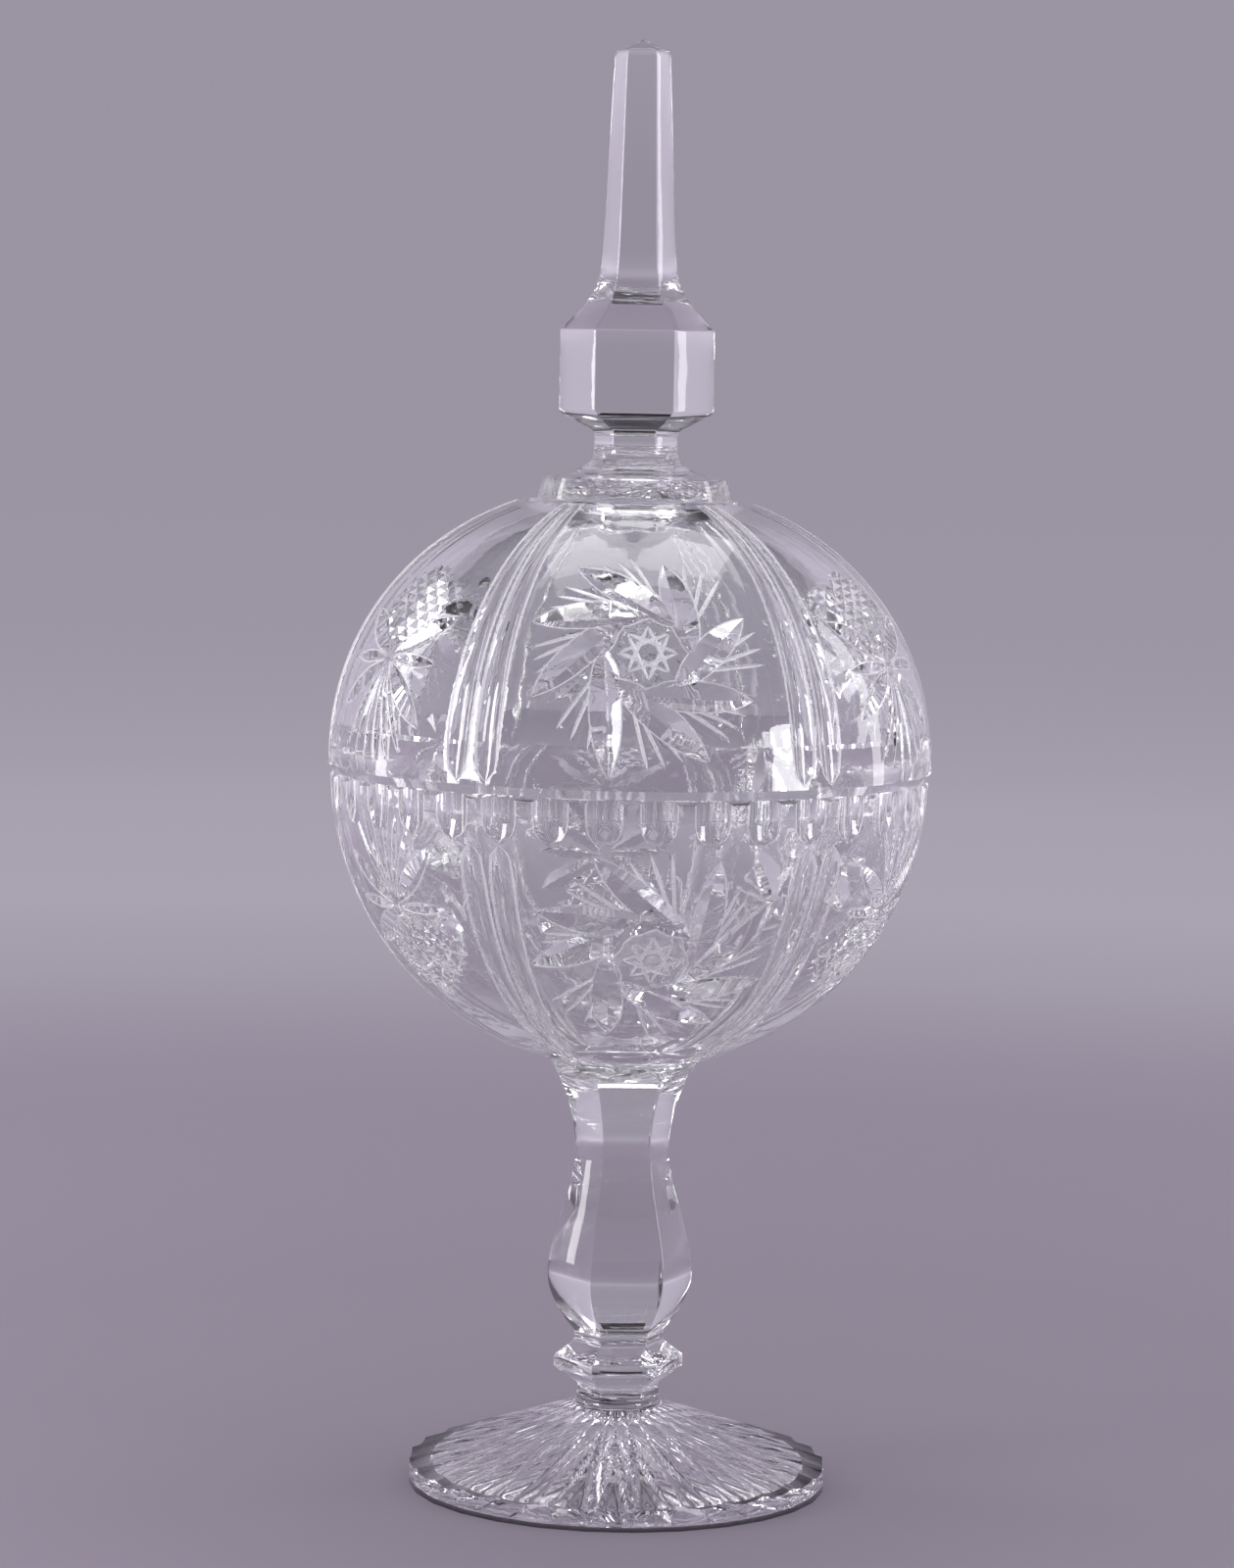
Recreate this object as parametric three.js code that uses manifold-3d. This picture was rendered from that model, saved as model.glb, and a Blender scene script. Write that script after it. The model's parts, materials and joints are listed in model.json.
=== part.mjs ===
// A covered compote of clear cut glass: a fluted foot, a six-sided baluster stem and a round bowl,
// closed by a domed lid that carries a collar and a tall six-sided finial.
// Millimetres, +Z up, z = 0 under the foot, and the axis of the whole piece at x = y = 0.
// Azimuths are degrees round the axis, from -Y at the front towards +X.

import * as THREE from "three";
import { mergeVertices } from "three/addons/utils/BufferGeometryUtils.js";
import Module from "manifold-3d";

const wasm = await Module();
wasm.setup();

const degree = Math.PI / 180;
const lidSeatGap = 0.3; // hairline of air between the lid and the rim that it rests on
const weldDistance = 1e-4;
const hexagon = 6;

// Foot: a low cone with as many sides as it has flutes
const footRadius = 56.8; // to the corners of its outline
const footFlutes = 28;
const footTurn = 5.1; // azimuth of one corner
const footEdgeHeight = 6.7;
const footShoulderRadius = 15.5; // where the slope turns up into the neck
const footShoulderHeight = 21.2;
const footHeight = 25;
const footNeckLedge = 0.3; // past the stem's neck
const footFluteDepth = 1.1; // at the rim, shallower towards the neck
const footFluteFacets = 3; // across one flute
const footFluteOverrun = 1.2; // how far the flutes' cutters pass the rim, as a share of the slope
const footRingWidth = 7.5; // flat ground ring that the foot stands on
const footHollowDepth = 2.6;
const footStarCuts = 14; // grooves right across the underside, two rays each
const footStarDepth = 2.2;
const footStarAngle = 60; // half the angle of the groove

// Stem: heights are above the foot
const stemTurn = 36.5; // azimuth of one corner
const stemHeight = 92.4;
const stemNeckRadius = 11.2;
const stemNeckRunout = 1; // height in which the six sides run out over the foot
const stemNeckHeight = 2.7;
const stemKnopRadius = 17.85;
const stemKnopBottom = 7.2;
const stemKnopTop = 10.5;
const stemWaistRadius = 12.4;
const stemWaistBottom = 14.6;
const stemWaistTop = 17.4;
const stemBulbRadius = 19.95;
const stemBulbHeight = 33;
const stemShankRadius = 12.95;
const stemShankHeight = 68;
const stemTopRadius = 20.5; // round, where the six sides have run out
const stemRunout = 5; // height in which the six sides run out under the bowl

// Bowl: a ball of glass cut off at its seat and at its rim
const bowlRadius = 80.7;
const bowlRimDrop = 0.8; // rim below the middle of the ball
const bowlRimChamfer = 0.9;
const bowlWall = 6.5; // at the rim
const bowlBottomThickness = 7.5; // glass between the seat and the hollow
const bowlTurn = 5.6; // azimuth of one pinwheel

// Lid
const lidOverhang = 0.8; // the lid's widest place past the bowl's
const lidCrownHeight = 76.3; // of the whole dome, were its top not flattened
const lidFullness = 2.1; // exponent of the dome's outline: 2 is an ellipse
const lidSkirtHeight = 2.3; // from the seat up to the widest place
const lidSkirtChamfer = 1.4;
const lidWall = 6.6;
const lidCrownWall = 7.4;
const lidLedge = 3.5; // flat land that shows round the collar
const lidTurn = 3.3; // azimuth of one pinwheel
const flangeClearance = 1.2; // between the lid's locating flange and the mouth of the bowl
const flangeWidth = 4.2;
const flangeDrop = 6;
const flangeFillet = 8; // degrees up the hollow of the dome to where the flange runs out

// Collar between the dome and the finial
const collarRadius = 26.2;
const collarTopRadius = 24.5;
const collarEdgeHeight = 5.5;
const collarCoveRadius = 20;
const collarCoveRise = 0.8;
const collarCoveBend = 1; // from the cove's inner corner to the point that its curve leans to
const collarHeight = 12.3;

// Finial: heights are above the collar
const finialTurn = 28; // azimuth of one corner
const finialNeckRadius = 11.2;
const finialNeckRunout = 0.8; // height in which the six sides run out over the collar
const finialNeckHeight = 4.2;
const finialShelfRadius = 17.2;
const finialShelfHeight = 8.9;
const finialEdgeRadius = 19.9;
const finialEdgeHeight = 10;
const finialBodyRadius = 20.9;
const finialBodyBottom = 11.2;
const finialBodyTop = 32.8;
const finialShoulderRadius = 15.05;
const finialShoulderHeight = 38.8;
const finialBendRadius = 10.3; // where the lines of the shoulder's sweep and of the spire meet
const finialBendHeight = 45.5;
const finialSpireRadius = 9.4;
const finialSpireHeight = 62;
const finialTipRadius = 7.7;
const finialTipHeight = 105.4;
const finialBevelRadius = 7.1;
const finialBevelHeight = 107.1;
const finialHeight = 110.1;

// Cutting wheels of the pattern
const patternRepeats = 3; // pinwheel and star panels round the ball
const bladeWheelRadius = 150;
const bladeDepth = 2.9;
const bladeAngle = 57; // half the angle of the groove
const hubRadius = 11.6;
const bladeStart = 1.2; // from the hub's edge to the tip of a blade
const petalWheelRadius = 60;
const petalDepth = 2;
const sidePetalDepth = 1.2;
const petalAngle = 57;
const petalStart = 1;
const wheelFlats = 3; // flats of a wheel's edge along one groove
const wheelOverrun = 1.6; // how far a wheel's edge slopes go, in depths of its cut

// Bearings of the grooves, in degrees from the right towards up. Those of the bowl's stars are mirrored.
const lidBladeBearings = [0, 49, 104, 143, 180, 219, 271, 320];
const bowlBladeBearings = [0, 42, 79, 139, 180, 212, 273, 325];
const petalBearings = [35, 145, 214, 318];
const sidePetalBearings = [0, 180];

// Flutes that part the panels, in pairs up and down the ball
const pairOffset = 33.2; // azimuth from a pinwheel to the middle of the pair beside it
const fluteSpacing = 6.6; // azimuth between the two flutes of a pair
const fluteRadius = 7;
const fluteDepth = 1.15; // at the lower end on the lid, at the upper end on the bowl
const fluteEndDepth = 0.3;
const fluteFacets = 16; // round the whole cutter

// Elevations of the pattern, in degrees up or down from the middle of the ball
const lidPinwheelAngle = 26.4;
const lidStarAngle = 23;
const lidFluteStart = 3.5;
const lidFluteEnd = 61;
const bowlPinwheelAngle = 31;
const bowlStarAngle = 24;
const bowlFluteStart = 10.5;
const bowlFluteEnd = 62;

// Thumbprints round the rim of the bowl
const thumbprints = 36;
const thumbprintHeight = 10;
const thumbprintWidth = 6.6;
const thumbprintDepth = 1.1;
const thumbprintDrop = 6.6; // from the rim to the middle of a print
const thumbprintSides = 8;

// Faces round the turned pieces
const ballSides = 40;
const roundSides = 30;
const outerSteps = 7;
const innerSteps = 5;
const fluteSteps = 5;
const roundingSteps = 6;

// Sizes and heights that the pieces share
const footNeckRadius = stemNeckRadius + footNeckLedge;
const bowlMouthRadius = bowlRadius - bowlWall;
const lidRadius = bowlRadius + lidOverhang;
const stemBase = footHeight;
const bowlBase = stemBase + stemHeight;
const bowlMiddle = bowlBase + Math.sqrt(bowlRadius ** 2 - stemTopRadius ** 2);
const rimHeight = bowlMiddle - bowlRimDrop;
const lidBase = rimHeight + lidSeatGap;
const lidMiddle = lidBase + lidSkirtHeight;
const lidLandHeight = heightOf(lidRadius, lidCrownHeight, lidFullness, collarRadius + lidLedge);
const collarBase = lidMiddle + lidLandHeight;
const finialBase = collarBase + collarHeight;

function point(radius, height) {
  return new THREE.Vector2(radius, height);
}

// A closed geometry as a solid that can be cut, its doubled vertices merged and slivers dropped.
function solidOf(geometry) {
  geometry.deleteAttribute("normal");
  geometry.deleteAttribute("uv");
  const welded = mergeVertices(geometry, weldDistance);
  const corners = welded.index.array;
  const kept = [];
  for (let i = 0; i < corners.length; i += 3) {
    const [a, b, c] = corners.slice(i, i + 3);
    if (a !== b && b !== c && c !== a) kept.push(a, b, c);
  }
  const mesh = { numProp: 3, vertProperties: welded.attributes.position.array, triVerts: new Uint32Array(kept) };
  return new wasm.Manifold(new wasm.Mesh(mesh));
}

// A profile of (radius, height) points, listed outwards and up, turned about the Z axis.
function turned(profile, sides, turn = 0) {
  const geometry = new THREE.LatheGeometry(profile, sides, turn * degree);
  return solidOf(geometry.rotateX(Math.PI / 2));
}

// A six-sided solid whose sides run out into the round ends of its blank.
function sixSided(profile, blank, turn) {
  return turned(profile, hexagon, turn).intersect(turned(blank, roundSides, turn));
}

// Radius to the corners of a hexagon that goes round a circle.
function aroundCircle(radius) {
  return radius / Math.cos(Math.PI / hexagon);
}

function meshOf(solid) {
  const made = solid.getMesh();
  const geometry = new THREE.BufferGeometry();
  geometry.setAttribute("position", new THREE.BufferAttribute(made.vertProperties, 3));
  geometry.setIndex(new THREE.BufferAttribute(made.triVerts, 1));
  return geometry;
}

// The ball's surface: an outline of the given reach and height, turned about the axis.
function ballSurface(middle, reach, height, fullness) {
  return { middle, reach, height, fullness };
}

// Outline point (radius, height) of a ball at an elevation above its middle.
function outlineAt(ball, elevation) {
  const across = Math.cos(elevation * degree);
  const up = Math.sin(elevation * degree);
  const share = (across / ball.reach) ** ball.fullness + (Math.abs(up) / ball.height) ** ball.fullness;
  const distance = share ** (-1 / ball.fullness);
  return point(across * distance, ball.middle + up * distance);
}

// Height at which a ball's outline has narrowed to the given radius.
function heightOf(reach, height, fullness, radius) {
  return height * (1 - (radius / reach) ** fullness) ** (1 / fullness);
}

// Elevation at which the ball's outline has the given height above its middle.
function elevationOf(ball, height) {
  const share = (Math.abs(height) / ball.height) ** ball.fullness;
  const radius = ball.reach * (1 - share) ** (1 / ball.fullness);
  return Math.atan2(height, radius) / degree;
}

function outlineArc(ball, from, to, steps) {
  const points = [];
  for (let i = 0; i <= steps; i += 1) {
    points.push(outlineAt(ball, from + ((to - from) * i) / steps));
  }
  return points;
}

// The place on a ball in a direction from its middle, with its outward normal.
function placeOn(ball, direction) {
  const across = Math.hypot(direction.x, direction.y);
  const outline = outlineAt(ball, Math.atan2(direction.z, across) / degree);
  const rise = outline.y - ball.middle;
  const slopeOut = (outline.x / ball.reach) ** (ball.fullness - 1) / ball.reach;
  const slopeUp = ((Math.abs(rise) / ball.height) ** (ball.fullness - 1) / ball.height) * Math.sign(rise);
  const sideways = new THREE.Vector3(direction.x / across, direction.y / across, 0);
  const spot = sideways.clone().multiplyScalar(outline.x);
  spot.z = outline.y;
  const normal = sideways.clone().multiplyScalar(slopeOut);
  normal.z = slopeUp;
  return { spot, normal: normal.normalize() };
}

function directionAt(azimuth, elevation) {
  const level = Math.cos(elevation * degree);
  return new THREE.Vector3(
    level * Math.sin(azimuth * degree),
    -level * Math.cos(azimuth * degree),
    Math.sin(elevation * degree),
  );
}

// The directions to the right and up, as someone sees them who faces the ball there.
function rightAndUp(azimuth, elevation) {
  const right = new THREE.Vector3(Math.cos(azimuth * degree), Math.sin(azimuth * degree), 0);
  const up = new THREE.Vector3().crossVectors(directionAt(azimuth, elevation), right);
  return { right, up };
}

// A cutting wheel with a mitred edge, its axle along Y, for a groove that reaches so far each way.
function mitreWheel(radius, depth, angle, reach) {
  const slope = depth * wheelOverrun;
  const half = slope * Math.tan(angle * degree);
  const profile = [point(0, -half), point(radius - slope, -half), point(radius, 0)];
  profile.push(point(radius - slope, half), point(0, half));
  return new THREE.LatheGeometry(profile, Math.round((Math.PI * radius * wheelFlats) / reach));
}

// Half the length of the groove that a wheel leaves in a ball.
function grooveReach(ball, radius, depth) {
  return Math.sqrt((2 * depth) / (1 / ball.reach + 1 / radius));
}

// Sinks a wheel into the ball where the direction points, its edge along the given heading.
function wheelAt(ball, direction, heading, radius, depth, angle) {
  const { spot, normal } = placeOn(ball, direction);
  const axle = new THREE.Vector3().crossVectors(normal, heading).normalize();
  const along = new THREE.Vector3().crossVectors(axle, normal);
  const placed = new THREE.Matrix4().makeBasis(normal, axle, along.negate());
  placed.setPosition(spot.addScaledVector(normal, radius - depth));
  const wheel = mitreWheel(radius, depth, angle, grooveReach(ball, radius, depth));
  return solidOf(wheel.applyMatrix4(placed));
}

// One groove of a rosette: it starts at a place beside the rosette's centre and runs along a bearing.
// Bearings are degrees from the right, towards up, seen from outside.
function rosetteCut(ball, azimuth, elevation, start, bearing, wheel) {
  const { right, up } = rightAndUp(azimuth, elevation);
  const heading = right.clone().multiplyScalar(Math.cos(bearing * degree));
  heading.addScaledVector(up, Math.sin(bearing * degree));
  const centre = directionAt(azimuth, elevation).multiplyScalar(ball.reach);
  const reach = grooveReach(ball, wheel.radius, wheel.depth);
  centre.addScaledVector(right, start.x).addScaledVector(up, start.y);
  centre.addScaledVector(heading, reach);
  return wheelAt(ball, centre.normalize(), heading, wheel.radius, wheel.depth, wheel.angle);
}

// Blades that leave the hub as tangents, one for each bearing.
function pinwheelCuts(ball, azimuth, elevation, bearings) {
  const wheel = { radius: bladeWheelRadius, depth: bladeDepth, angle: bladeAngle };
  return bearings.map((bearing) => {
    const out = (bearing - 90) * degree;
    const start = point(hubRadius * Math.cos(out), hubRadius * Math.sin(out));
    start.x += bladeStart * Math.cos(bearing * degree);
    start.y += bladeStart * Math.sin(bearing * degree);
    return rosetteCut(ball, azimuth, elevation, start, bearing, wheel);
  });
}

// Petals that radiate from the middle of a star.
function starCuts(ball, azimuth, elevation, upright) {
  const petal = (bearing, depth) => {
    const turn = upright * bearing;
    const wheel = { radius: petalWheelRadius, depth, angle: petalAngle };
    const start = point(petalStart * Math.cos(turn * degree), petalStart * Math.sin(turn * degree));
    return rosetteCut(ball, azimuth, elevation, start, turn, wheel);
  };
  const long = petalBearings.map((bearing) => petal(bearing, petalDepth));
  const short = sidePetalBearings.map((bearing) => petal(bearing, sidePetalDepth));
  return [...long, ...short];
}

// A round-bottomed flute down the ball at one azimuth, shallower towards its far end.
function fluteCut(ball, azimuth, from, to) {
  const path = [];
  for (let i = 0; i <= fluteSteps; i += 1) {
    const share = i / fluteSteps;
    const { spot, normal } = placeOn(ball, directionAt(azimuth, from + (to - from) * share));
    const depth = fluteDepth + (fluteEndDepth - fluteDepth) * share;
    path.push(spot.addScaledVector(normal, fluteRadius - depth));
  }
  const section = new THREE.Shape(new THREE.EllipseCurve(0, 0, fluteRadius, fluteRadius).getPoints(fluteFacets));
  const extrudePath = new THREE.CatmullRomCurve3(path);
  const options = { steps: fluteSteps, extrudePath, bevelEnabled: false, curveSegments: 1 };
  return solidOf(new THREE.ExtrudeGeometry(section, options));
}

// The whole pattern of one half of the ball: pinwheel and star panels with pairs of flutes between.
function patternCuts(ball, turn, layout) {
  const cuts = [];
  const repeat = 360 / patternRepeats;
  for (let i = 0; i < patternRepeats; i += 1) {
    const azimuth = turn + repeat * i;
    cuts.push(...pinwheelCuts(ball, azimuth, layout.pinwheel, layout.blades));
    cuts.push(...starCuts(ball, azimuth + repeat / 2, layout.star, Math.sign(layout.star)));
    for (const side of [-1, 1]) {
      for (const half of [-0.5, 0.5]) {
        const at = azimuth + side * pairOffset + half * fluteSpacing;
        cuts.push(fluteCut(ball, at, layout.fluteStart, layout.fluteEnd));
      }
    }
  }
  return cuts;
}

function cutAway(solid, cuts) {
  return cuts.reduce((left, cut) => left.subtract(cut), solid);
}

// Foot: a many-sided cone with a hollow underside
function makeFoot() {
  const shoulder = point(footShoulderRadius, footShoulderHeight);
  const slope = (shoulder.y - footEdgeHeight) / (footRadius - shoulder.x);
  const apex = footEdgeHeight + slope * footRadius;
  const turnIn = point(footNeckRadius, apex - slope * footNeckRadius);
  const neck = new THREE.QuadraticBezierCurve(shoulder, turnIn, point(footNeckRadius, footHeight));
  const profile = [point(0, 0), point(footRadius, 0), point(footRadius, footEdgeHeight)];
  profile.push(...neck.getPoints(roundingSteps / 2), point(0, footHeight));
  const body = turned(profile, footFlutes, footTurn);
  return cutAway(body, [...footFluteCuts(apex), ...footUndersideCuts()]);
}

// Cones whose tip is on the axis at the given height: neighbours meet along the foot's ridges.
function footFluteCuts(apex) {
  const halfWidth = footRadius * Math.sin(Math.PI / footFlutes);
  const apothem = footRadius * Math.cos(Math.PI / footFlutes);
  const fall = Math.atan((apex - footEdgeHeight) / apothem);
  const length = apothem / Math.cos(fall);
  const ridgeAngle = Math.atan(halfWidth / length);
  const depthAngle = Math.atan(footFluteDepth / length);
  const tilt = Math.atan((Math.cos(depthAngle) - Math.cos(ridgeAngle)) / Math.sin(depthAngle));
  const coneAngle = tilt + depthAngle;
  const facetAngle = (2 * Math.asin(halfWidth / (length * Math.tan(coneAngle)))) / footFluteFacets;
  const near = footShoulderRadius;
  const far = length * footFluteOverrun;
  const cuts = [];
  for (let i = 0; i < footFlutes; i += 1) {
    const sides = Math.round((2 * Math.PI) / facetAngle);
    const cone = new THREE.CylinderGeometry(
      near * Math.tan(coneAngle),
      far * Math.tan(coneAngle),
      far - near,
      sides,
    );
    cone.rotateY(Math.PI / sides);
    cone.translate(0, -(near + far) / 2, 0);
    cone.rotateX(fall - tilt);
    cone.rotateZ((footTurn + (360 / footFlutes) * (i + 0.5)) * degree);
    cone.translate(0, 0, apex);
    cuts.push(solidOf(cone));
  }
  return cuts;
}

// A shallow dome inside the ground ring, and grooves right across it that leave a star.
function footUndersideCuts() {
  const radius = footRadius * Math.cos(Math.PI / footFlutes) - footRingWidth;
  const floor = point(radius, -footHollowDepth);
  const dome = new THREE.QuadraticBezierCurve(
    point(radius, 0),
    point(radius / 2, footHollowDepth),
    point(0, footHollowDepth),
  );
  const hollow = turned([point(0, floor.y), floor, ...dome.getPoints(roundingSteps - 2)], footFlutes, footTurn);
  const depth = footHollowDepth + footStarDepth;
  const wheelRadius = (radius ** 2 + depth ** 2) / (2 * depth);
  const cuts = [hollow];
  for (let i = 0; i < footStarCuts; i += 1) {
    const wheel = mitreWheel(wheelRadius, depth, footStarAngle, radius);
    wheel.translate(0, 0, depth - wheelRadius);
    wheel.rotateZ((footTurn + (180 / footStarCuts) * i) * degree);
    cuts.push(solidOf(wheel));
  }
  return cuts;
}

// Stem: a neck, a sharp-edged knop, a waist and a baluster that flares under the bowl
function makeStem() {
  const bulb = stemBulbHeight - stemWaistTop;
  const shank = stemShankHeight - stemBulbHeight;
  const flare = stemHeight - stemShankHeight;
  const runoutBase = stemHeight - stemRunout;
  const swell = new THREE.CubicBezierCurve(
    point(stemWaistRadius, stemWaistTop),
    point((stemWaistRadius + stemBulbRadius) / 2, stemWaistTop + bulb / 4),
    point(stemBulbRadius, stemBulbHeight - bulb / 3),
    point(stemBulbRadius, stemBulbHeight),
  );
  const draw = new THREE.CubicBezierCurve(
    point(stemBulbRadius, stemBulbHeight),
    point(stemBulbRadius, stemBulbHeight + shank / 3),
    point(stemShankRadius, stemShankHeight - shank / 3),
    point(stemShankRadius, stemShankHeight),
  );
  const spread = new THREE.CubicBezierCurve(
    point(stemShankRadius, stemShankHeight),
    point(stemShankRadius, stemShankHeight + flare / 3),
    point((stemShankRadius + stemTopRadius) / 2, stemHeight - flare / 4),
    point(stemTopRadius, stemHeight),
  );
  const flarePoints = spread.getPoints(2 * roundingSteps).slice(1);
  const round = flarePoints.filter((p) => p.y >= runoutBase);
  const profile = [
    point(0, 0),
    point(aroundCircle(stemNeckRadius), 0),
    point(stemNeckRadius, stemNeckRunout),
    point(stemNeckRadius, stemNeckHeight),
    point(stemKnopRadius, stemKnopBottom),
    point(stemKnopRadius, stemKnopTop),
    point(stemWaistRadius, stemWaistBottom),
    ...swell.getPoints(roundingSteps),
    ...draw.getPoints(roundingSteps).slice(1),
    ...flarePoints.filter((p) => p.y <= round[0].y),
    point(aroundCircle(stemTopRadius), stemHeight),
    point(0, stemHeight),
  ];
  const wide = aroundCircle(stemBulbRadius);
  const blank = [point(0, 0), point(stemNeckRadius, 0), point(stemNeckRadius, stemNeckRunout)];
  blank.push(point(wide, stemNeckRunout), point(wide, round[0].y), ...round, point(0, stemHeight));
  return sixSided(profile, blank, stemTurn);
}

// Bowl: a cut ball with an oval hollow, its rim ground flat for the lid
function makeBowl() {
  const ball = ballSurface(bowlMiddle, bowlRadius, bowlRadius, 2);
  const seatAngle = elevationOf(ball, bowlBase - bowlMiddle);
  const edgeAngle = elevationOf(ball, rimHeight - bowlRimChamfer - bowlMiddle);
  const floor = bowlBase + bowlBottomThickness;
  const hollow = ballSurface(rimHeight, bowlMouthRadius, rimHeight - floor, 2);
  const edge = outlineAt(ball, edgeAngle);
  const profile = [point(0, bowlBase), ...outlineArc(ball, seatAngle, edgeAngle, outerSteps)];
  profile.push(point(edge.x - bowlRimChamfer, rimHeight));
  profile.push(...outlineArc(hollow, 0, -90, innerSteps));
  profile.at(-1).x = 0;
  const blank = turned(profile, ballSides, bowlTurn);
  const layout = {
    blades: bowlBladeBearings,
    pinwheel: -bowlPinwheelAngle,
    star: -bowlStarAngle,
    fluteStart: -bowlFluteStart,
    fluteEnd: -bowlFluteEnd,
  };
  return cutAway(blank, [...patternCuts(ball, bowlTurn, layout), ...thumbprintCuts(ball)]);
}

// Oval hollows side by side under the rim of the bowl
function thumbprintCuts(ball) {
  const height = rimHeight - thumbprintDrop;
  const elevation = elevationOf(ball, height - bowlMiddle);
  const radius = ((thumbprintWidth / 2) ** 2 + thumbprintDepth ** 2) / (2 * thumbprintDepth);
  const stretch = thumbprintHeight / thumbprintWidth;
  const cuts = [];
  for (let i = 0; i < thumbprints; i += 1) {
    const azimuth = bowlTurn + (360 / thumbprints) * i;
    const { spot, normal } = placeOn(ball, directionAt(azimuth, elevation));
    const { right, up } = rightAndUp(azimuth, elevation);
    const oval = new THREE.SphereGeometry(radius, thumbprintSides, thumbprintSides - 2);
    oval.scale(1, 1, stretch);
    const placed = new THREE.Matrix4().makeBasis(right, normal.clone().negate(), up);
    placed.setPosition(spot.addScaledVector(normal, radius - thumbprintDepth));
    cuts.push(solidOf(oval.applyMatrix4(placed)));
  }
  return cuts;
}

// Lid dome: a cut shell with a flat land on top and a flange that drops into the bowl
function makeLidDome() {
  const ball = ballSurface(lidMiddle, lidRadius, lidCrownHeight, lidFullness);
  const hollow = ballSurface(lidMiddle, lidRadius - lidWall, lidCrownHeight - lidCrownWall, lidFullness);
  const landAngle = elevationOf(ball, lidLandHeight);
  const flangeOuter = bowlMouthRadius - flangeClearance;
  const flangeInner = flangeOuter - flangeWidth;
  const profile = [point(0, collarBase), ...outlineArc(ball, landAngle, 0, outerSteps)];
  profile.push(point(lidRadius - lidSkirtChamfer, lidBase), point(flangeOuter, lidBase));
  profile.push(point(flangeOuter, lidBase - flangeDrop), point(flangeInner, lidBase - flangeDrop));
  profile.push(point(flangeInner, lidBase), ...outlineArc(hollow, flangeFillet, 90, innerSteps));
  profile.at(-1).x = 0;
  const blank = turned(profile.reverse(), ballSides, lidTurn);
  const layout = {
    blades: lidBladeBearings,
    pinwheel: lidPinwheelAngle,
    star: lidStarAngle,
    fluteStart: lidFluteStart,
    fluteEnd: lidFluteEnd,
  };
  return cutAway(blank, patternCuts(ball, lidTurn, layout));
}

// Collar: a disc with a sloping edge and a cove up to the finial
function makeCollar() {
  const coveFoot = collarEdgeHeight + collarCoveRise;
  const cove = new THREE.QuadraticBezierCurve(
    point(collarCoveRadius, coveFoot),
    point(finialNeckRadius + collarCoveBend, coveFoot + collarCoveBend),
    point(finialNeckRadius, collarHeight),
  );
  const profile = [point(0, 0), point(collarRadius, 0), point(collarTopRadius, collarEdgeHeight)];
  profile.push(...cove.getPoints(roundingSteps - 2), point(0, collarHeight));
  return turned(profile, roundSides);
}

// Finial: a six-sided block on a short neck, drawn up into a tapering spire with a blunt point
function makeFinial() {
  const cove = new THREE.QuadraticBezierCurve(
    point(finialNeckRadius, finialNeckHeight),
    point(finialNeckRadius, (finialNeckHeight + finialShelfHeight) / 2),
    point(finialShelfRadius, finialShelfHeight),
  );
  const sweep = new THREE.QuadraticBezierCurve(
    point(finialShoulderRadius, finialShoulderHeight),
    point(finialBendRadius, finialBendHeight),
    point(finialSpireRadius, finialSpireHeight),
  );
  const profile = [
    point(0, 0),
    point(aroundCircle(finialNeckRadius), 0),
    point(finialNeckRadius, finialNeckRunout),
    ...cove.getPoints(roundingSteps),
    point(finialEdgeRadius, finialEdgeHeight),
    point(finialBodyRadius, finialBodyBottom),
    point(finialBodyRadius, finialBodyTop),
    ...sweep.getPoints(roundingSteps),
    point(finialTipRadius, finialTipHeight),
    point(finialBevelRadius, finialBevelHeight),
    point(0, finialHeight),
  ];
  const wide = aroundCircle(finialBodyRadius);
  const blank = [point(0, 0), point(finialNeckRadius, 0), point(finialNeckRadius, finialNeckRunout)];
  blank.push(point(wide, finialNeckRunout), point(wide, finialHeight), point(0, finialHeight));
  return sixSided(profile, blank, finialTurn);
}

// Clear lead crystal, with the faint cool grey of thick glass
function crystal() {
  return new THREE.MeshStandardMaterial({
    color: 0xe9edf0,
    roughness: 0.03,
    metalness: 0,
    transparent: true,
    opacity: 0.45,
  });
}

function piece(name, solid, height) {
  const mesh = new THREE.Mesh(meshOf(solid), crystal());
  mesh.name = name;
  mesh.position.z = height;
  return mesh;
}

const base = new THREE.Group();
base.add(piece("foot", makeFoot(), 0));
base.add(piece("stem", makeStem(), stemBase));
base.add(piece("bowl", makeBowl(), 0));

const lid = new THREE.Group();
lid.add(piece("lid_dome", makeLidDome(), 0));
lid.add(piece("lid_collar", makeCollar(), collarBase));
lid.add(piece("finial", makeFinial(), finialBase));

const compote = new THREE.Group();
compote.add(base, lid);

export default compote;
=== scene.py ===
import json
import math

import bmesh
import bpy
from mathutils import Matrix, Vector
from mathutils.geometry import interpolate_bezier

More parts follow.
